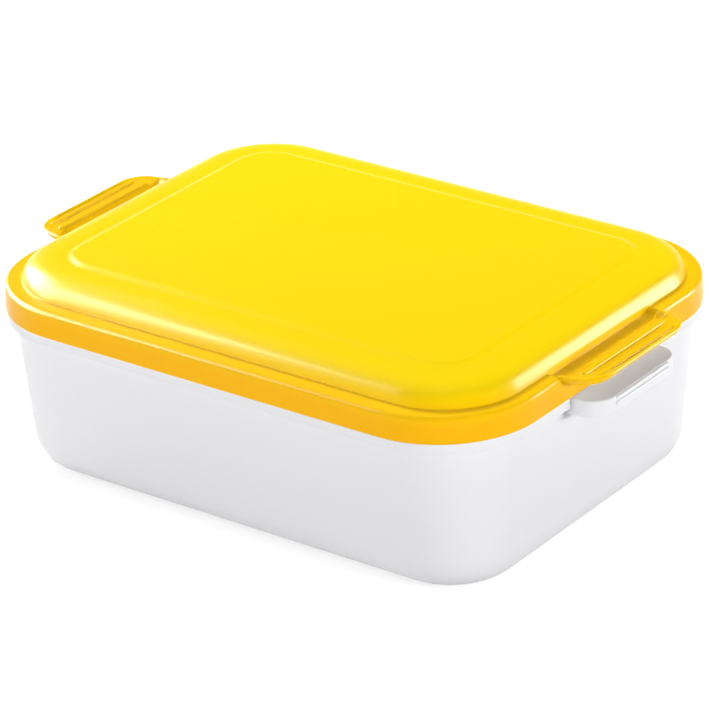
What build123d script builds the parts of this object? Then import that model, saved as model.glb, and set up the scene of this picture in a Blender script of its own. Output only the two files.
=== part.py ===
from build123d import *
import os

# Lunch box of two moulded shells: a drafted tub and a domed snap-on lid.
# X runs along the box, through the two lid tabs, Y across it, and Z is up.
# The origin is the middle of the base, on the surface that the box stands on.

# Outline shared by the lid and the tub's rim, measured over the lid's skirt
box_length = 175.0
box_width = 135.2
box_corner = 30.3

# Heights above the table
skirt_low = 49.4
ledge_top = 57.0
crown_height = 63.0
lid_top = 63.8

# Lid section, as insets from the skirt's outer face
lid_wall = 1.5
skirt_wall = 1.3
skirt_lean = 0.1
ledge_inset = 5.4
shoulder_inset = 6.9
shoulder_height = 61.9
crown_inset = 18.0
deck_inset = 22.0
skirt_edge_radius = 1.2
shoulder_radius = 4.3
plug_inset = 4.4
plug_wall = 1.3
plug_depth = 3.6
lid_bead_height = 51.0
lid_bead_radius = 0.4

# Raised panel in the middle of the lid
panel_length = 136.0
panel_width = 95.0
panel_corner = 11.0
panel_edge_radius = 0.5

# Thumb channel cut into the ledge at each end, between the dome and the tab
channel_floor = 55.55
channel_half = 24.6
channel_wall = 1.3

# Lid tabs, one at each end: a pad with a lip round it and two ribs along Y
tab_reach = 97.5
tab_half_tip = 23.0
tab_half_root = 25.9
tab_tip_corner = 9.0
tab_wall = 1.15
tab_edge_radius = 0.4
pad_height = 56.6
pad_foot = 87.9
pad_root = 89.5
lip_height = 57.0
lip_width = 1.1
apron_low = 54.9
apron_half = 22.6
tab_ribs = ((90.6, 20.2), (94.65, 18.9))
tab_rib_width = 1.7
tab_rib_rise = 0.8
tab_rib_radius = 0.7

# Tub shell
base_length = 161.5
base_width = 118.5
base_corner = 21.0
base_radius = 10.8
tub_wall = 1.8
floor_wall = 2.4
inner_radius = 9.0
rim_inset = 2.3
rim_top = 53.7
rim_edge_radius = 0.6
tub_bead_height = 52.0
tub_bead_radius = 0.25

# Rim flange, just below the lid's skirt
flange_gap = 0.3
flange_inset = 0.5
flange_low = 46.0

# Grip ledges of the tub, one below each lid tab, hollow from below
grip_reach = 96.6
grip_half_tip = 20.0
grip_half_root = 19.0
grip_tip_corner = 7.0
grip_root_corner = 3.0
grip_low = 43.8
grip_wall = 1.6
grip_edge_radius = 0.5
grip_rib_heights = (46.8, 48.4)
grip_rib_radius = 0.6
grip_rib_half = 13.0
pocket_root = 86.0

# Foot ring under the base, and the round mark of the moulding gate
foot_inset = 16.5
foot_recess = 0.7
gate_radius = 3.0
gate_rise = 0.3

# Worked out from the sizes above
half_length = box_length / 2
flange_top = skirt_low - flange_gap
ledge_under = ledge_top - lid_wall
channel_root = half_length - ledge_inset
deck_root = channel_root - 0.4
tab_root = half_length - skirt_lean - skirt_edge_radius
tab_under = pad_height - tab_wall
grip_root = half_length - rim_inset - tub_wall / 2
pocket_top = flange_top - grip_wall
root_depth = 1.0
near = 0.1
ends = (-1, 1)


def box_outline(inset):
    """Rounded rectangle at one inset from the skirt's outer face."""
    return RectangleRounded(box_length - 2 * inset, box_width - 2 * inset, box_corner - inset)


def base_outline(inset):
    """Rounded rectangle at one inset from the base's sharp outline."""
    return RectangleRounded(base_length - 2 * inset, base_width - 2 * inset, base_corner - inset)


def swept_ring(section):
    """Carry a section of the wall once around the box's outline."""
    with BuildSketch() as outline:
        box_outline(0)
    with BuildPart() as ring:
        sweep(sections=section, path=outline.wire())
    return ring.part


def bead(inset, height, radius):
    """Round snap bead along the skirt or the rim."""
    with BuildSketch(Plane.XZ) as section:
        with Locations((half_length - inset, height)):
            Circle(radius)
    return swept_ring(section.sketch)


def end_plates(root, tip, half_root, half_tip, tip_corner, root_corner, low, high, edge_radius):
    """Flat plates that stand out at both ends, with round tips and flared roots."""
    with BuildPart() as plates:
        for end in ends:
            with BuildSketch(Plane.XY.offset(low)):
                with BuildLine():
                    Polyline(
                        (end * root, -half_root),
                        (end * tip, -half_tip),
                        (end * tip, half_tip),
                        (end * root, half_root),
                        close=True,
                    )
                make_face()
                fillet(vertices().filter_by(lambda v: abs(v.X) > tip - near), radius=tip_corner)
                with Locations((end * (root - root_depth / 2), 0)):
                    Rectangle(root_depth, 2 * half_root + 4 * root_corner)
                flare = vertices().filter_by(
                    lambda v: abs(abs(v.X) - root) < near and abs(abs(v.Y) - half_root) < near
                )
                if root_corner > 0:
                    fillet(flare, radius=root_corner)
            extrude(amount=high - low)
        if edge_radius > 0:
            rim = edges().filter_by(lambda e: abs(e.center().X) > root + near)
            fillet(rim.filter_by(Axis.Z, reverse=True), radius=edge_radius)
    return plates.part


def tab_decks():
    """Sheet of both tabs, from the channel's floor up to the pad and its lip."""
    with BuildPart() as decks:
        for end in ends:
            with BuildSketch(Plane.XZ):
                with BuildLine():
                    Polyline(
                        (end * (deck_root - root_depth), channel_floor),
                        (end * pad_foot, channel_floor),
                        (end * pad_root, pad_height),
                        (end * (tab_reach - lip_width), pad_height),
                        (end * (tab_reach - lip_width), lip_height),
                        (end * tab_reach, lip_height),
                        (end * tab_reach, tab_under),
                        (end * (pad_root + tab_wall / 2), tab_under),
                        (end * (pad_foot + tab_wall / 2), channel_floor - channel_wall),
                        (end * (deck_root - root_depth), channel_floor - channel_wall),
                        close=True,
                    )
                make_face()
            extrude(amount=tab_half_root, both=True)
        add(
            end_plates(
                deck_root, tab_reach, tab_half_root, tab_half_tip, tab_tip_corner, 0,
                apron_low - lid_wall, crown_height, 0,
            ),
            mode=Mode.INTERSECT,
        )
    return decks.part


def tab_aprons():
    """Deeper walls that close both tabs at their ends along Y."""
    with BuildPart() as aprons:
        add(
            end_plates(
                tab_root, tab_reach, tab_half_root, tab_half_tip, tab_tip_corner, 0,
                apron_low, lip_height, tab_edge_radius,
            )
        )
        with Locations((0, 0, lip_height)):
            Box(2 * tab_reach, 2 * apron_half, box_width, mode=Mode.SUBTRACT)
    return aprons.part


# One section, swept around the outline, holds the lid's skirt, ledge, plug and shoulder
with BuildSketch(Plane.XZ) as lid_section:
    with BuildLine():
        Polyline(
            (half_length, skirt_low),
            (half_length - skirt_lean, ledge_top),
            (half_length - ledge_inset, ledge_top),
            (half_length - shoulder_inset, shoulder_height),
            (half_length - crown_inset, crown_height),
            (half_length - deck_inset, crown_height),
            (half_length - deck_inset, crown_height - lid_wall),
            (half_length - crown_inset, crown_height - lid_wall),
            (half_length - shoulder_inset - lid_wall, shoulder_height - lid_wall),
            (half_length - ledge_inset - lid_wall, ledge_under),
            (half_length - plug_inset - plug_wall, ledge_under),
            (half_length - plug_inset - plug_wall, ledge_under - plug_depth),
            (half_length - plug_inset, ledge_under - plug_depth),
            (half_length - plug_inset, ledge_under),
            (half_length - skirt_wall - skirt_lean, ledge_under),
            (half_length - skirt_wall, skirt_low),
            close=True,
        )
    make_face()
    for radius, inset, height in (
        (skirt_edge_radius, skirt_lean, ledge_top),
        (shoulder_radius, shoulder_inset, shoulder_height),
        (shoulder_radius - lid_wall, shoulder_inset + lid_wall, shoulder_height - lid_wall),
    ):
        fillet(vertices().sort_by_distance((half_length - inset, height))[0], radius=radius)

with BuildPart() as lid:
    add(swept_ring(lid_section.sketch))
    add(bead(skirt_wall, lid_bead_height, lid_bead_radius))
    # Deck that closes the dome
    with BuildSketch(Plane.XY.offset(crown_height - lid_wall)):
        box_outline(deck_inset - lid_wall)
    extrude(amount=lid_wall)
    # Raised panel, hollow from below
    with BuildSketch(Plane.XY.offset(crown_height - lid_wall)):
        RectangleRounded(panel_length, panel_width, panel_corner)
    extrude(amount=lid_top - crown_height + lid_wall)
    fillet(faces().sort_by(Axis.Z)[-1].edges(), radius=panel_edge_radius)
    with BuildSketch(Plane.XY.offset(crown_height - lid_wall)):
        RectangleRounded(
            panel_length - 2 * lid_wall, panel_width - 2 * lid_wall, panel_corner - lid_wall
        )
    extrude(amount=lid_top - crown_height, mode=Mode.SUBTRACT)
    # Thumb channels, and the tabs with their ribs
    with BuildSketch(Plane.XY.offset(channel_floor)):
        for end in ends:
            with Locations((end * (channel_root + half_length) / 2, 0)):
                Rectangle(ledge_inset, 2 * channel_half)
    extrude(amount=crown_height - channel_floor, mode=Mode.SUBTRACT)
    add(tab_decks())
    add(tab_aprons())
    for end in ends:
        for place, half in tab_ribs:
            with BuildSketch(Plane.XY.offset(pad_height)):
                with Locations((end * place, 0)):
                    SlotOverall(2 * half, tab_rib_width, rotation=90)
            extrude(amount=tab_rib_rise)
            rib_tops = faces().filter_by(
                lambda f: abs(f.center().Z - pad_height - tab_rib_rise) < near
                and abs(f.center().X - end * place) < near
            )
            fillet(rib_tops.edges(), radius=tab_rib_radius)

# Inside of the tub: a drafted cavity with a round foot, and a straight mouth
with BuildPart() as cavity:
    with BuildSketch(Plane.XY.offset(floor_wall)):
        base_outline(tub_wall)
    with BuildSketch(Plane.XY.offset(flange_top)):
        box_outline(rim_inset + tub_wall)
    loft(ruled=True)
    fillet(faces().sort_by(Axis.Z)[0].edges(), radius=inner_radius)
    with BuildSketch(Plane.XY.offset(flange_top)):
        box_outline(rim_inset + tub_wall)
    extrude(amount=rim_top - flange_top)

with BuildPart() as tub:
    # Drafted outer wall, with a large round along the base
    with BuildSketch():
        base_outline(0)
    with BuildSketch(Plane.XY.offset(flange_top)):
        box_outline(rim_inset)
    loft(ruled=True)
    fillet(faces().sort_by(Axis.Z)[0].edges(), radius=base_radius)
    # Rim that stands inside the lid's skirt
    with BuildSketch(Plane.XY.offset(flange_top)):
        box_outline(rim_inset)
    extrude(amount=rim_top - flange_top)
    # Flange below the skirt
    with BuildSketch(Plane.XY.offset(flange_low)):
        box_outline(flange_inset)
    extrude(amount=flange_top - flange_low)
    # Grip ledges
    add(
        end_plates(
            grip_root, grip_reach, grip_half_root, grip_half_tip, grip_tip_corner,
            grip_root_corner, grip_low, flange_top, grip_edge_radius,
        )
    )
    add(cavity.part, mode=Mode.SUBTRACT)
    add(
        end_plates(
            pocket_root, grip_reach - grip_wall, grip_half_root - grip_wall,
            grip_half_tip - grip_wall, grip_tip_corner - grip_wall, 0,
            grip_low, pocket_top, 0,
        ),
        mode=Mode.SUBTRACT,
    )
    fillet(faces().sort_by(Axis.Z)[-1].edges(), radius=rim_edge_radius)
    add(bead(rim_inset, tub_bead_height, tub_bead_radius))
    # Ribs across the outer face of each grip
    for end in ends:
        for height in grip_rib_heights:
            with Locations((end * grip_reach, 0, height)):
                Cylinder(grip_rib_radius, 2 * grip_rib_half, rotation=(90, 0, 0))
    # Recess that leaves a foot ring, with the gate's mark in its middle
    with BuildSketch():
        base_outline(foot_inset)
    extrude(amount=foot_recess, mode=Mode.SUBTRACT)
    with BuildSketch(Plane.XY.offset(foot_recess)):
        Circle(gate_radius)
    extrude(amount=-gate_rise)

lid.part.label = "lid"
tub.part.label = "tub"
os.makedirs("parts", exist_ok=True)
export_step(lid.part, "parts/lid.step")
export_step(tub.part, "parts/tub.step")
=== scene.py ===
from math import cos, sin, tan, radians, pi

import bmesh
import bpy
from mathutils import Matrix, Vector
from mathutils.geometry import interpolate_bezier


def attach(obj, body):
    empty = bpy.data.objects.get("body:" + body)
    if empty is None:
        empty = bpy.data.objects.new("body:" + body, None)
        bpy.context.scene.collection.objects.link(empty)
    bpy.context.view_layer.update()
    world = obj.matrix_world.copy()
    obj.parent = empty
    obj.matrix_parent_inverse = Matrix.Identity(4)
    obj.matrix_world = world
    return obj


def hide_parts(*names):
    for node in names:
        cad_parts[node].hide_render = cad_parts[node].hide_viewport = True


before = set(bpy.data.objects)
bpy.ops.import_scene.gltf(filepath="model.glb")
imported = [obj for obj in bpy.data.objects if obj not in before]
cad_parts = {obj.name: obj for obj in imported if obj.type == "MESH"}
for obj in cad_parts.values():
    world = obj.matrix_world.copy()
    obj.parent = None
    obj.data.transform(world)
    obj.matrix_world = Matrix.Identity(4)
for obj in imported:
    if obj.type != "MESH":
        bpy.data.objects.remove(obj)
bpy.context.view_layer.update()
print("frame loaded, nodes:", sorted(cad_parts))

# Everything on the box follows one outline, a rounded rectangle. A section is a
# list of points (inset from that outline, height), all in millimetres.
outline = {"halfLength": 87.5, "halfWidth": 67.6, "corner": 30.3, "cornerSteps": 28, "millimetre": 0.001}


def roundOff(path, steps=6):
    # path of (x, y, radius); a corner with a radius becomes an arc
    points = []
    for k, (x, y, radius) in enumerate(path):
        here = Vector((x, y))
        if radius == 0:
            points.append(here)
            continue
        back = (Vector(path[k - 1][:2]) - here).normalized()
        ahead = (Vector(path[k + 1][:2]) - here).normalized()
        half = back.angle(ahead) / 2
        middle = here + (back + ahead).normalized() * radius / sin(half)
        first = here + back * radius / tan(half) - middle
        last = here + ahead * radius / tan(half) - middle
        points += [middle + first.slerp(last, s / steps) * radius for s in range(steps + 1)]
    return points


def newEnd(made, old):
    verts = [v for v in made if isinstance(v, bmesh.types.BMVert) and v not in old]
    fresh = set(verts)
    edges = [e for e in made if isinstance(e, bmesh.types.BMEdge)
             and e.verts[0] in fresh and e.verts[1] in fresh]
    return verts, edges


def sweepRound(bm, section, endStations):
    # carries the section once round the box; endStations are the places along Y
    # at which the two short ends get a row of points
    ring = bm.verts.layers.int.new("ring")
    centreX = outline["halfLength"] - outline["corner"]
    centreY = outline["halfWidth"] - outline["corner"]
    verts = [bm.verts.new((outline["halfLength"] - inset, -centreY, z)) for inset, z in section]
    for k, v in enumerate(verts):
        v[ring] = k + 1
    edges = [bm.edges.new(pair) for pair in zip(verts, verts[1:])]
    for side in (1, -1):
        places = [-centreY] + sorted(endStations) + [centreY]
        for a, b in zip(places, places[1:]):
            made = bmesh.ops.extrude_edge_only(bm, edges=edges)["geom"]
            verts, edges = newEnd(made, set(verts))
            bmesh.ops.translate(bm, verts=verts, vec=(0, side * (b - a), 0))
        for centre in ((side * centreX, side * centreY), (-side * centreX, side * centreY)):
            made = bmesh.ops.spin(bm, geom=verts + edges, cent=(*centre, 0), axis=(0, 0, 1),
                                  angle=pi / 2, steps=outline["cornerSteps"])["geom_last"]
            verts, edges = newEnd(made, set())
            if centre[0] * side > 0:
                made = bmesh.ops.extrude_edge_only(bm, edges=edges)["geom"]
                verts, edges = newEnd(made, set(verts))
                bmesh.ops.translate(bm, verts=verts, vec=(-side * 2 * centreX, 0, 0))
    bmesh.ops.remove_doubles(bm, verts=bm.verts, dist=0.002)
    return ring


def smoothRise(here, start, end):
    share = max(0.0, min(1.0, (here - start) / (end - start)))
    return share * share * (3 - 2 * share)


def moveCorners(bm, ring, shares, shift):
    # carries the corner centres outwards by shift, each row of points by its own share of it
    centre = (outline["halfLength"] - outline["corner"], outline["halfWidth"] - outline["corner"])
    for v in bm.verts:
        for axis in (0, 1):
            place = max(-1.0, min(1.0, v.co[axis] / centre[axis]))
            v.co[axis] += shift[axis] * shares[v[ring] - 1] * place


def plateOf(half, thick, topEdge, lowEdge):
    # flat plate below z = 0 from one half of its plan outline, with softened edges
    bm = bmesh.new()
    loop = list(half) + [Vector((p.x, -p.y)) for p in reversed(half)]
    verts = [bm.verts.new((p.x, p.y, 0)) for p in loop]
    for pair in zip(verts, verts[1:] + verts[:1]):
        bm.edges.new(pair)
    face = bmesh.ops.contextual_create(bm, geom=verts)["faces"][0]
    made = bmesh.ops.extrude_face_region(bm, geom=[face])["geom"]
    bmesh.ops.translate(bm, verts=[v for v in made if isinstance(v, bmesh.types.BMVert)],
                        vec=(0, 0, -thick))
    bmesh.ops.recalc_face_normals(bm, faces=bm.faces)
    for height, width in ((0, topEdge), (-thick, lowEdge)):
        rim = [e for e in bm.edges if all(abs(v.co.z - height) < 0.001 for v in e.verts)]
        bmesh.ops.bevel(bm, geom=rim, offset=width, offset_type="OFFSET", segments=4, profile=0.5,
                        affect="EDGES", material=-1, clamp_overlap=True)
    return bm


def cutAcross(bm, axis, places):
    # adds rows of points where the plate is going to bend
    for place in places:
        co, no = Vector((0, 0, 0)), Vector((0, 0, 0))
        co[axis], no[axis] = place, 1
        bmesh.ops.bisect_plane(bm, geom=bm.verts[:] + bm.edges[:] + bm.faces[:],
                               plane_co=co, plane_no=no)


def spread(start, end, count):
    return [start + (end - start) * k / (count - 1) for k in range(count)]


def joinAtEnds(bm, part):
    # adds the part at both ends of the box
    mesh = bpy.data.meshes.new("part")
    part.to_mesh(mesh)
    part.free()
    for turn in (0, pi):
        mesh.transform(Matrix.Rotation(turn, 4, "Z"))
        bm.from_mesh(mesh)
    bpy.data.meshes.remove(mesh)


def ridge(bm, middle, half, shape, turn):
    # one raised bar with round ends and softened top edges; shape is its width, its rise,
    # how deep it is sunk into the plate, and the softness of its edge
    width, rise, sunk, edge = shape
    before = set(bm.verts)
    made = bmesh.ops.create_circle(bm, cap_ends=True, radius=width / 2, segments=24)["verts"]
    for v in made:
        v.co.y += (half - width / 2) * (1 if v.co.y > 0.0001 else -1)
    face = [f for f in bm.faces if all(v in made for v in f.verts)][0]
    top = bmesh.ops.extrude_face_region(bm, geom=[face])["geom"]
    bmesh.ops.translate(bm, verts=[v for v in top if isinstance(v, bmesh.types.BMVert)],
                        vec=(0, 0, rise + sunk))
    topFace = [f for f in top if isinstance(f, bmesh.types.BMFace)][0]
    bmesh.ops.bevel(bm, geom=list(topFace.edges), offset=edge, offset_type="OFFSET", segments=4,
                    profile=0.5, affect="EDGES", material=-1, clamp_overlap=True)
    fresh = [v for v in bm.verts if v not in before]
    bmesh.ops.translate(bm, verts=fresh, vec=(0, 0, -sunk))
    bmesh.ops.transform(bm, verts=fresh, matrix=Matrix.Translation(middle) @ turn)


def makePiece(bm, name, material, body):
    bmesh.ops.recalc_face_normals(bm, faces=bm.faces)
    bmesh.ops.scale(bm, verts=bm.verts, vec=[outline["millimetre"]] * 3)
    mesh = bpy.data.meshes.new(name)
    bm.to_mesh(mesh)
    bm.free()
    mesh.shade_smooth()
    piece = bpy.data.objects.new(name, mesh)
    bpy.context.scene.collection.objects.link(piece)
    piece.data.materials.append(material)
    even = piece.modifiers.new("evenNormals", "WEIGHTED_NORMAL")
    even.mode = "FACE_AREA"
    even.weight = 100
    even.keep_sharp = True
    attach(piece, body)
    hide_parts(name.split("Shell")[0])
    print(name, "has", len(mesh.polygons), "faces")
    return piece


def palerBounce(nodes, links, colour, look):
    # light that bounces off the piece onto the other one is less coloured than the piece
    bounce = nodes.new("ShaderNodeLightPath")
    weight = nodes.new("ShaderNodeMath")
    weight.operation = "MULTIPLY"
    weight.inputs[1].default_value = look["bounceShare"]
    links.new(bounce.outputs["Is Diffuse Ray"], weight.inputs[0])
    paler = nodes.new("ShaderNodeMix")
    paler.data_type = "RGBA"
    paler.inputs["B"].default_value = (*look["bounceColour"], 1)
    links.new(weight.outputs[0], paler.inputs["Factor"])
    links.new(colour, paler.inputs["A"])
    return paler.outputs["Result"]


def plastic(name, look):
    material = bpy.data.materials.new(name)
    material.use_nodes = True
    nodes, links = material.node_tree.nodes, material.node_tree.links
    shader = nodes["Principled BSDF"]
    shader.inputs["Specular IOR Level"].default_value = look["specular"]
    place = nodes.new("ShaderNodeTexCoord")
    # painted light and shade: the colour is painted lighter on the raised top and darker lower down, where
    # less light falls, with a faint cloudiness
    apart = nodes.new("ShaderNodeSeparateXYZ")
    links.new(place.outputs["Object"], apart.inputs["Vector"])
    height = nodes.new("ShaderNodeMapRange")
    height.interpolation_type = "SMOOTHSTEP"
    height.inputs["From Min"].default_value, height.inputs["From Max"].default_value = look["paintedLightFade"]
    links.new(apart.outputs["Z"], height.inputs["Value"])
    paintedLight = nodes.new("ShaderNodeMix")
    paintedLight.data_type = "RGBA"
    paintedLight.inputs["A"].default_value = (*look["shadedLowColour"], 1)
    paintedLight.inputs["B"].default_value = (*look["litTopColour"], 1)
    links.new(height.outputs["Result"], paintedLight.inputs["Factor"])
    cloud = nodes.new("ShaderNodeTexNoise")
    cloud.inputs["Scale"].default_value = look["cloudScale"]
    cloud.inputs["Detail"].default_value = 2
    links.new(place.outputs["Object"], cloud.inputs["Vector"])
    haze = nodes.new("ShaderNodeMapRange")
    haze.inputs["To Min"].default_value, haze.inputs["To Max"].default_value = look["haze"]
    links.new(cloud.outputs["Fac"], haze.inputs["Value"])
    mixed = nodes.new("ShaderNodeMix")
    mixed.data_type = "RGBA"
    mixed.blend_type = "MULTIPLY"
    mixed.inputs["Factor"].default_value = 1
    links.new(paintedLight.outputs["Result"], mixed.inputs["A"])
    links.new(haze.outputs["Result"], mixed.inputs["B"])
    colour = mixed.outputs["Result"]
    if "bounceShare" in look:
        colour = palerBounce(nodes, links, colour, look)
    links.new(colour, shader.inputs["Base Color"])
    grain = nodes.new("ShaderNodeTexNoise")
    grain.inputs["Scale"].default_value = look["grainScale"]
    grain.inputs["Detail"].default_value = 3
    links.new(place.outputs["Object"], grain.inputs["Vector"])
    gloss = nodes.new("ShaderNodeMapRange")
    gloss.inputs["To Min"].default_value, gloss.inputs["To Max"].default_value = look["roughness"]
    links.new(grain.outputs["Fac"], gloss.inputs["Value"])
    links.new(gloss.outputs["Result"], shader.inputs["Roughness"])
    bump = nodes.new("ShaderNodeBump")
    bump.inputs["Strength"].default_value = look["grainStrength"]
    bump.inputs["Distance"].default_value = look["grainDepth"]
    links.new(grain.outputs["Fac"], bump.inputs["Height"])
    links.new(bump.outputs["Normal"], shader.inputs["Normal"])
    return material


# Yellow lid: one moulding, wall 1.5 mm thick
lid = {
    # raised panel: inset from the outline and drop below the top
    "panelTop": 63.8, "panelRows": [(22.5, 0), (21.6, 0), (20.9, 0), (20.5, 0.04), (20.1, 0.13),
                                    (19.7, 0.28), (19.3, 0.45), (18.9, 0.61), (18.5, 0.74), (18.15, 0.82)],
    "panelStretch": (0.25 / 68, -0.35 / 47.5),
    # dome, ledge and skirt
    "crown": (17.6, 62.95), "domeFoot": (6.15, 57.3), "domeHandles": (7.9, 4.5, 1.3), "domeRows": 22,
    "domeShift": (1.25, 0.25), "footRound": 0.2, "footLean": 0.03, "footSteps": 5,
    "ledge": 57.0, "ledgeMiddle": (3.0, 4.0), "edgeRound": 1.3, "edgeSteps": 8,
    "skirtLean": 0.25, "skirtLow": 49.2, "skirtRows": (54, 53, 50.4), "skirtTip": (0, 0.35),
    "skirtInnerTip": (1.3, 0.3), "profileSteps": 4, "wall": 1.5,
    # inside of the skirt with the snap bead, then the plug lip: inset, height and radius
    "skirtInside": [(1.35, 50.3, 0), (1.42, 50.5, 0.1), (1.78, 50.95, 0.25), (1.45, 51.5, 0.1),
                    (1.5, 52.0, 0)],
    "plugInsets": (1.55, 4.4, 5.7, 7.65), "plugRounds": (0.4, 0.3, 0.6), "plugLow": 51.7,
    "plugEnd": (7.7, 56.4), "plugRows": 6,
    # inside of the dome and the panel
    "innerCurve": ((7.75, 57.0), (8.1, 60.0), (12.8, 61.4), (18.0, 61.45)), "innerRows": 14,
    "innerPanel": [(19.9, 61.45), (20.3, 61.5), (20.9, 61.9), (21.4, 62.25), (21.9, 62.3), (22.5, 62.3)],
    # thumb channel across the ledge
    "channelHalf": 24.7, "channelStep": 0.5, "channelDrop": 1.45, "channelDepth": 0.5,
    "channelRows": (-1, -0.67, -0.33, 0, 0.33, 0.67, 1),
    # pull tab: the bends are the places of its rows of points, start, end and count
    "tabRoot": (86.0, 25.9), "tabReach": 97.5, "tabHalfTip": 23.0, "tabCorner": 9.0, "tabWall": 1.15,
    "tabTip": (9.0, 3.0), "tabSteps": 16, "tabEdges": (0.7, 0.3),
    "rootBend": 87.0, "tipBends": (95.2, 97.0, 10),
    "padRise": 1.05, "padRoot": (87.9, 89.5), "padBends": 9, "padEnds": (22.3, 24.4),
    "lipRise": 0.75, "lip": (0.86, 0.93), "lipPower": 4,
    "apron": (13.5, 22.5), "apronDrop": 1.15, "apronDraft": (0.08, 0.045),
    "apronBends": (13.5, 20.5, 7), "endBends": (21.0, 24.9, 10),
    "ribs": ((90.6, 20.2), (94.65, 18.9)), "ribShape": (2.1, 0.65, 0.4, 0.62),
    # plastic; the top and low colours paint light and shade into the colour by height
    "litTopColour": (1.0, 0.72, 0.001), "shadedLowColour": (0.99, 0.50, 0.001), "paintedLightFade": (0.0532, 0.0625),
    "cloudScale": 9.0, "haze": (0.98, 1.0), "specular": 0.12,
    "bounceShare": 0.95, "bounceColour": (0.88, 0.87, 0.85),
    "grainScale": 900.0, "grainStrength": 0.06, "grainDepth": 0.0002, "roughness": (0.26, 0.31),
}


def lean(z):
    return lid["skirtLean"] * (z - lid["skirtLow"]) / (lid["ledge"] - lid["skirtLow"])


def domeSection():
    crown, foot = lid["crown"], lid["domeFoot"]
    flat, steep, shift = lid["domeHandles"]
    return interpolate_bezier((*crown, 0), (crown[0] - flat, crown[1], 0),
                              (foot[0] + shift, foot[1] + steep, 0), (*foot, 0), lid["domeRows"])


def lidSection():
    # the section, and the numbers of the points that the thumb channel lowers
    ledge, foot, low, under = lid["ledge"], lid["domeFoot"], lid["skirtLow"], lid["ledge"] - lid["wall"]
    firstMiddle, lastMiddle = lid["ledgeMiddle"]
    high, middle, lower = [(lean(z), z, 0) for z in lid["skirtRows"]]
    top = [(inset, lid["panelTop"] - drop) for inset, drop in lid["panelRows"]]
    top += [(p.x, p.y) for p in domeSection()]
    channelFrom = len(top)
    footPath = [(*foot, 0), (foot[0] - lid["footLean"], ledge, lid["footRound"]), (firstMiddle, ledge, 0)]
    edgePath = [(lastMiddle, ledge, 0), (lean(ledge), ledge, lid["edgeRound"]), middle]
    for path, steps in ((footPath, lid["footSteps"]), (edgePath, lid["edgeSteps"])):
        top += [tuple(p) for p in roundOff(path, steps)[1:-1]]
    channel = list(range(channelFrom, len(top)))
    (outerTip, outerRound), (innerTip, innerRound) = lid["skirtTip"], lid["skirtInnerTip"]
    skirtEnd, lipOut, lipIn, dome = lid["plugInsets"]
    corner, shoulder, tip = lid["plugRounds"]
    side = roundOff([high, middle, lower, (outerTip, low, outerRound), (innerTip, low, innerRound),
                     *lid["skirtInside"], (skirtEnd, under, corner), (lipOut, under, shoulder),
                     (lipOut, lid["plugLow"], tip), (lipIn, lid["plugLow"], tip),
                     (lipIn, under, shoulder), (dome, under, shoulder), (*lid["plugEnd"], 0)],
                    lid["profileSteps"])
    for p in side:
        top.append(tuple(p))
        if p.y > under - lid["channelDepth"]:
            channel.append(len(top) - 1)
    inner = interpolate_bezier(*[(*p, 0) for p in lid["innerCurve"]], lid["innerRows"])
    return top + [(p.x, p.y) for p in inner] + lid["innerPanel"], channel


def makeTab():
    # pull tab: a plate level with the channel's floor, raised to a pad for the thumb
    root, reach = lid["tabRoot"], lid["tabReach"]
    tip = [(reach, y, 0) for y in lid["tabTip"]]
    half = roundOff([(*root, 0), (reach, lid["tabHalfTip"], lid["tabCorner"])] + tip,
                    lid["tabSteps"])
    tab = plateOf(half, lid["tabWall"], *lid["tabEdges"])
    cutAcross(tab, 0, [lid["rootBend"]] + spread(*lid["padRoot"], lid["padBends"]) + spread(*lid["tipBends"]))
    rows = spread(*lid["apronBends"]) + spread(*lid["endBends"])
    cutAcross(tab, 1, [-y for y in rows] + [0.0] + rows)
    floor, power = lid["ledge"] - lid["channelDrop"], lid["lipPower"]
    for v in tab.verts:
        along, across = (v.co.x - root[0]) / (reach - root[0]), abs(v.co.y) / root[1]
        pad = max(smoothRise(v.co.x, *lid["padRoot"]), smoothRise(abs(v.co.y), *lid["padEnds"]))
        lip = smoothRise((max(0, along) ** power + across ** power) ** (1 / power), *lid["lip"])
        apron = smoothRise(abs(v.co.y), *lid["apron"]) if v.co.z < -lid["tabWall"] / 2 else 0.0
        v.co.x = root[0] + (v.co.x - root[0]) * (1 - lid["apronDraft"][0] * apron)
        v.co.y *= 1 - lid["apronDraft"][1] * apron
        v.co.z += floor + lid["padRise"] * pad + lid["lipRise"] * lip - lid["apronDrop"] * apron
    for x, along in lid["ribs"]:
        ridge(tab, Vector((x, 0, floor + lid["padRise"])), along, lid["ribShape"], Matrix.Identity(4))
    return tab


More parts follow.
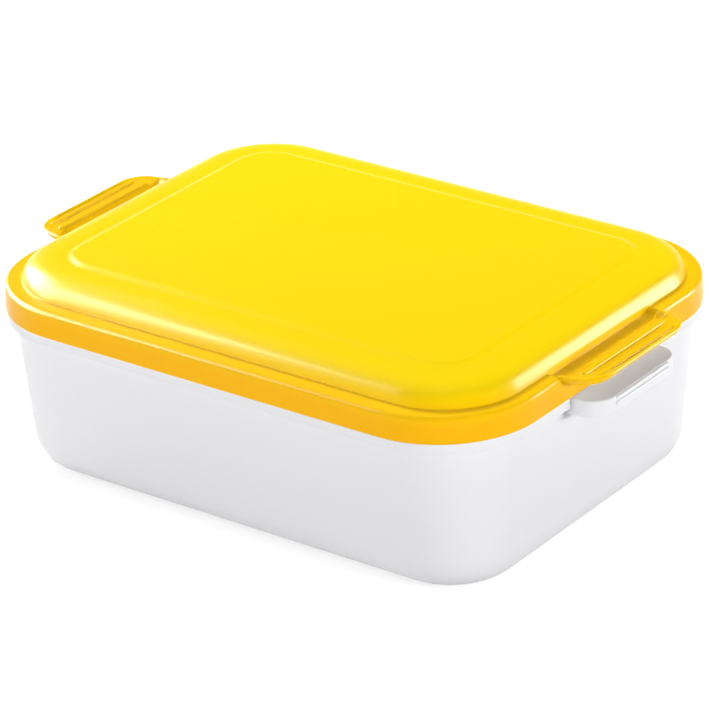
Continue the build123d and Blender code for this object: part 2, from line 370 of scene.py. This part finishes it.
def makeLid():
    section, channel = lidSection()
    half, step = lid["channelHalf"], lid["channelStep"]
    places = [half + step * row for row in lid["channelRows"]]
    bm = bmesh.new()
    ring = sweepRound(bm, section, [-y for y in places] + places)
    panel, innerPanel = len(lid["panelRows"]), len(section) - len(lid["innerPanel"])
    foot = panel + lid["domeRows"] + lid["footSteps"] + 1
    innerDome = innerPanel - lid["innerRows"]
    shares = []
    for k, (inset, z) in enumerate(section):
        if k >= innerDome:
            inset -= lid["wall"]
        reachOf = (lid["crown"][0] - inset) / (lid["crown"][0] - lid["domeFoot"][0])
        onDome = panel <= k < foot or k >= innerDome - lid["plugRows"]
        shares.append(max(0.0, min(1.0, reachOf)) ** 2 if onDome else 0.0)
    moveCorners(bm, ring, shares, lid["domeShift"])
    for v in bm.verts:
        if v[ring] <= panel or v[ring] > innerPanel:
            v.co.x *= 1 + lid["panelStretch"][0]
            v.co.y *= 1 + lid["panelStretch"][1]
        atEnd = abs(v.co.x) > outline["halfLength"] - outline["corner"] / 2
        if atEnd and v[ring] - 1 in channel:
            v.co.z -= lid["channelDrop"] * (1 - smoothRise(abs(v.co.y), half - step, half + step))
    bmesh.ops.holes_fill(bm, edges=[e for e in bm.edges if e.is_boundary], sides=0)
    joinAtEnds(bm, makeTab())
    return makePiece(bm, "lidShell", plastic("yellowPlastic", lid), "lid_body")


makeLid()


# White tub: one moulding with the rim, the flange and two grip ledges
tub = {
    "floor": 2.4, "floorReach": (27.0, 26.0), "baseRound": 11.0, "innerRound": 9.0, "innerEase": 0.2,
    "innerBends": (-1, 0.5), "profileSteps": 12,
    "rimTop": 53.7, "rimInset": 2.3, "rimRound": 0.6, "wall": 1.8, "wallRows": (44, 36, 26),
    "beadRows": (52.6, 52.3, 52.0, 51.7, 51.3), "beadRise": 0.22, "beadRound": 0.2,
    "flangeTop": 49.1, "flangeLow": 46.0, "flangeInset": 0.5, "flangeRound": 0.4, "flangeFillet": 0.35,
    "baseInset": 9.3, "baseShift": (2.55, 0.95), "endRows": (-12.0, 0.0, 12.0),
    # foot ring: inset, height and radius
    "footRing": [(25.2, 0, 0.3), (25.8, 0.7, 0.3), (27.0, 0.7, 0)],
    "gripRoot": (83.5, 20.6), "gripReach": 96.6, "gripHalfTip": 20.0, "gripCorner": 7.0, "gripLow": 43.8,
    "gripTip": (9.0, 3.0), "gripSteps": 16, "gripWall": 1.6, "gripEdges": (0.5, 0.9), "gripSunk": 0.02,
    "gripRibs": (46.8, 48.4), "gripRibHalf": 13.0, "gripRibShape": (1.0, 0.6, 0.4, 0.45),
    # the tub's top and low colours are almost the same, so hardly any light is painted on it
    "litTopColour": (0.835, 0.835, 0.85), "shadedLowColour": (0.83, 0.83, 0.845), "paintedLightFade": (0.03, 0.05),
    "cloudScale": 7.0, "haze": (0.985, 1.0), "specular": 0.12,
    "grainScale": 700.0, "grainStrength": 0.05, "grainDepth": 0.0002, "roughness": (0.36, 0.44),
}


def wallInset(z):
    return tub["rimInset"] + (tub["baseInset"] - tub["rimInset"]) * (1 - z / tub["flangeTop"])


def makeGrip():
    # grip ledge below the lid's tab, hollow from below
    reach, wall = tub["gripReach"], tub["gripWall"]
    tip = [(reach, y, 0) for y in tub["gripTip"]]
    half = roundOff([(*tub["gripRoot"], 0), (reach, tub["gripHalfTip"], tub["gripCorner"])] + tip,
                    tub["gripSteps"])
    depth = tub["flangeTop"] - tub["gripLow"]
    grip = plateOf(half, depth, *tub["gripEdges"])
    bottom = [max((f for f in grip.faces if f.normal.z < 0), key=lambda f: f.calc_area())]
    bmesh.ops.inset_region(grip, faces=bottom, thickness=wall - tub["gripEdges"][1], use_even_offset=True)
    made = bmesh.ops.extrude_face_region(grip, geom=bottom)["geom"]
    bmesh.ops.delete(grip, geom=bottom, context="FACES_ONLY")
    bmesh.ops.translate(grip, verts=[v for v in made if isinstance(v, bmesh.types.BMVert)],
                        vec=(0, 0, depth - wall))
    bmesh.ops.translate(grip, verts=grip.verts, vec=(0, 0, tub["flangeTop"] - tub["gripSunk"]))
    for z in tub["gripRibs"]:
        ridge(grip, Vector((reach, 0, z)), tub["gripRibHalf"], tub["gripRibShape"],
              Matrix.Rotation(pi / 2, 4, "Y"))
    return grip


def tubSection():
    flangeTop, low, rim, rimTop = tub["flangeTop"], tub["flangeLow"], tub["rimInset"], tub["rimTop"]
    floor, out, inside, soft = tub["floor"], tub["flangeInset"], rim + tub["wall"], tub["rimRound"]
    first, second, bead, fourth, fifth = tub["beadRows"]
    path = [(reach, floor, 0) for reach in tub["floorReach"]]
    path += [(tub["baseInset"] + tub["wall"] + tub["innerEase"], floor, tub["innerRound"])]
    path += [(inside, flangeTop + shift, 0) for shift in tub["innerBends"]]
    path += [(inside, rimTop, soft), (rim, rimTop, soft)]
    path += [(rim, first, 0), (rim, second, 0), (rim - tub["beadRise"], bead, tub["beadRound"])]
    path += [(rim, fourth, 0), (rim, fifth, 0), (rim, flangeTop, 0)]
    path += [(out, flangeTop, tub["flangeRound"]), (out, low, tub["flangeRound"])]
    path += [(wallInset(low), low, tub["flangeFillet"])] + [(wallInset(z), z, 0) for z in tub["wallRows"]]
    path += [(tub["baseInset"], 0, tub["baseRound"])] + tub["footRing"]
    return [tuple(p) for p in roundOff(path, tub["profileSteps"])]


def makeTub():
    section = tubSection()
    bm = bmesh.new()
    ring = sweepRound(bm, section, tub["endRows"])
    shares = [max(0.0, 1 - z / tub["flangeTop"]) for inset, z in section]
    moveCorners(bm, ring, shares, tub["baseShift"])
    bmesh.ops.holes_fill(bm, edges=[e for e in bm.edges if e.is_boundary], sides=0)
    joinAtEnds(bm, makeGrip())
    return makePiece(bm, "tubShell", plastic("whitePlastic", tub), "tub_body")


makeTub()


# Studio: pale floor, white walls that darken upwards in reflections, soft lamps
studio = {
    "roomLight": 0.36, "ceilingShine": 0.05, "shineFade": (0.05, 0.22),
    "floorColour": 0.70, "floorGlow": 0.66, "floorHalf": 3.0, "floorHeight": -0.0002,
    "lamps": {   # place, aim, size in metres, watts, and whether the lamp shades or shines
        "overhead": ((0.0, 0.0, 1.2), (0, 0, 0.05), (0.7, 0.7), 1.9, "shade"),
        "keyLeft": ((-0.58, 0.42, 0.72), (0, 0, 0.05), (0.20, 0.20), 8.8, "shade"),
        "frontFill": ((0.05, -1.10, 0.06), (0, 0, 0.03), (0.6, 0.12), 5.1, "shade"),
        "rightFill": ((1.07, 0.20, 0.26), (0, 0, 0.04), (0.5, 0.16), 6.1, "shade"),
        "leftBox": ((-0.34, -0.12, 0.21), (0, 0, 0.06), (0.46, 0.26), 16.5, "shine"),
        "backBox": ((0.42, 0.50, 0.17), (0.04, 0, 0.06), (0.22, 0.34), 7.8, "shine"),
    },
}


def seenRays(nodes, links, kinds):
    # 1 for the kinds of ray that see the white room, 0 for the light that falls on the object
    path = nodes.new("ShaderNodeLightPath")
    last = path.outputs[kinds[0]]
    for kind in kinds[1:]:
        either = nodes.new("ShaderNodeMath")
        either.operation = "MAXIMUM"
        links.new(last, either.inputs[0])
        links.new(path.outputs[kind], either.inputs[1])
        last = either.outputs[0]
    return last


def makeFloor():
    bm = bmesh.new()
    bmesh.ops.create_grid(bm, x_segments=1, y_segments=1, size=studio["floorHalf"])
    bmesh.ops.translate(bm, verts=bm.verts, vec=(0, 0, studio["floorHeight"]))
    mesh = bpy.data.meshes.new("floor")
    bm.to_mesh(mesh)
    bm.free()
    floor = bpy.data.objects.new("floor", mesh)
    bpy.context.scene.collection.objects.link(floor)
    material = bpy.data.materials.new("paleFloor")
    material.use_nodes = True
    nodes, links = material.node_tree.nodes, material.node_tree.links
    nodes.clear()
    out = nodes.new("ShaderNodeOutputMaterial")
    matte = nodes.new("ShaderNodeBsdfDiffuse")
    matte.inputs["Color"].default_value = (*[studio["floorColour"]] * 3, 1)
    glow = nodes.new("ShaderNodeEmission")
    glow.inputs["Strength"].default_value = studio["floorGlow"]
    both = nodes.new("ShaderNodeAddShader")
    links.new(matte.outputs[0], both.inputs[0])
    links.new(glow.outputs[0], both.inputs[1])
    pick = nodes.new("ShaderNodeMixShader")
    links.new(seenRays(nodes, links, ("Is Camera Ray", "Is Glossy Ray")), pick.inputs[0])
    links.new(matte.outputs[0], pick.inputs[1])
    links.new(both.outputs[0], pick.inputs[2])
    links.new(pick.outputs[0], out.inputs["Surface"])
    floor.data.materials.append(material)


def makeRoom():
    world = bpy.data.worlds.new("whiteRoom")
    bpy.context.scene.world = world
    world.use_nodes = True
    nodes, links = world.node_tree.nodes, world.node_tree.links
    nodes.clear()
    out = nodes.new("ShaderNodeOutputWorld")
    litRoom = nodes.new("ShaderNodeBackground")
    litRoom.inputs["Strength"].default_value = studio["roomLight"]
    seenRoom = nodes.new("ShaderNodeBackground")
    seenRoom.inputs["Strength"].default_value = 1.0
    shineRoom = nodes.new("ShaderNodeBackground")
    towards = nodes.new("ShaderNodeTexCoord")
    apart = nodes.new("ShaderNodeSeparateXYZ")
    links.new(towards.outputs["Generated"], apart.inputs["Vector"])
    upwards = nodes.new("ShaderNodeMapRange")
    upwards.interpolation_type = "SMOOTHSTEP"
    upwards.inputs["From Min"].default_value, upwards.inputs["From Max"].default_value = studio["shineFade"]
    upwards.inputs["To Min"].default_value = 1.0
    upwards.inputs["To Max"].default_value = studio["ceilingShine"]
    links.new(apart.outputs["Z"], upwards.inputs["Value"])
    links.new(upwards.outputs["Result"], shineRoom.inputs["Strength"])
    first = nodes.new("ShaderNodeMixShader")
    links.new(seenRays(nodes, links, ("Is Glossy Ray",)), first.inputs[0])
    links.new(litRoom.outputs[0], first.inputs[1])
    links.new(shineRoom.outputs[0], first.inputs[2])
    second = nodes.new("ShaderNodeMixShader")
    links.new(seenRays(nodes, links, ("Is Camera Ray", "Is Transmission Ray")), second.inputs[0])
    links.new(first.outputs[0], second.inputs[1])
    links.new(seenRoom.outputs[0], second.inputs[2])
    links.new(second.outputs[0], out.inputs["Surface"])


def makeLamp(name, place, aim, size, watts, use):
    lamp = bpy.data.lights.new(name, "AREA")
    lamp.shape = "RECTANGLE"
    lamp.size, lamp.size_y = size
    lamp.energy = watts
    holder = bpy.data.objects.new(name, lamp)
    holder.location = place
    holder.rotation_euler = (Vector(aim) - Vector(place)).to_track_quat("-Z", "Y").to_euler()
    holder.visible_camera = False
    holder.visible_diffuse = use != "shine"
    holder.visible_glossy = use != "shade"
    bpy.context.scene.collection.objects.link(holder)


makeFloor()
makeRoom()
for lampName, setting in studio["lamps"].items():
    makeLamp(lampName, *setting)
print("studio ready, lamps:", len(studio["lamps"]))

# Camera, at the place that the photograph was taken from
camera = {"azimuth": 37.10, "elevation": 25.45, "roll": -2.05, "lens": 208.6, "sensor": 36,
          "clip": (0.05, 20), "place": (0.6358, -0.8410, 0.5332)}


def makeCamera():
    a, e, r = (radians(camera[k]) for k in ("azimuth", "elevation", "roll"))
    back = Vector((sin(a) * cos(e), -cos(a) * cos(e), sin(e)))
    right = Vector((cos(a), sin(a), 0))
    up = back.cross(right)
    across = right * cos(r) + up * sin(r)
    upright = up * cos(r) - right * sin(r)
    turn = Matrix((across, upright, back)).transposed().to_4x4()
    data = bpy.data.cameras.new("camera")
    data.lens = camera["lens"]
    data.sensor_width = camera["sensor"]
    data.clip_start, data.clip_end = camera["clip"]
    holder = bpy.data.objects.new("camera", data)
    holder.matrix_world = Matrix.Translation(camera["place"]) @ turn
    bpy.context.scene.collection.objects.link(holder)
    bpy.context.scene.camera = holder


makeCamera()
bpy.context.scene.view_settings.view_transform = "Standard"
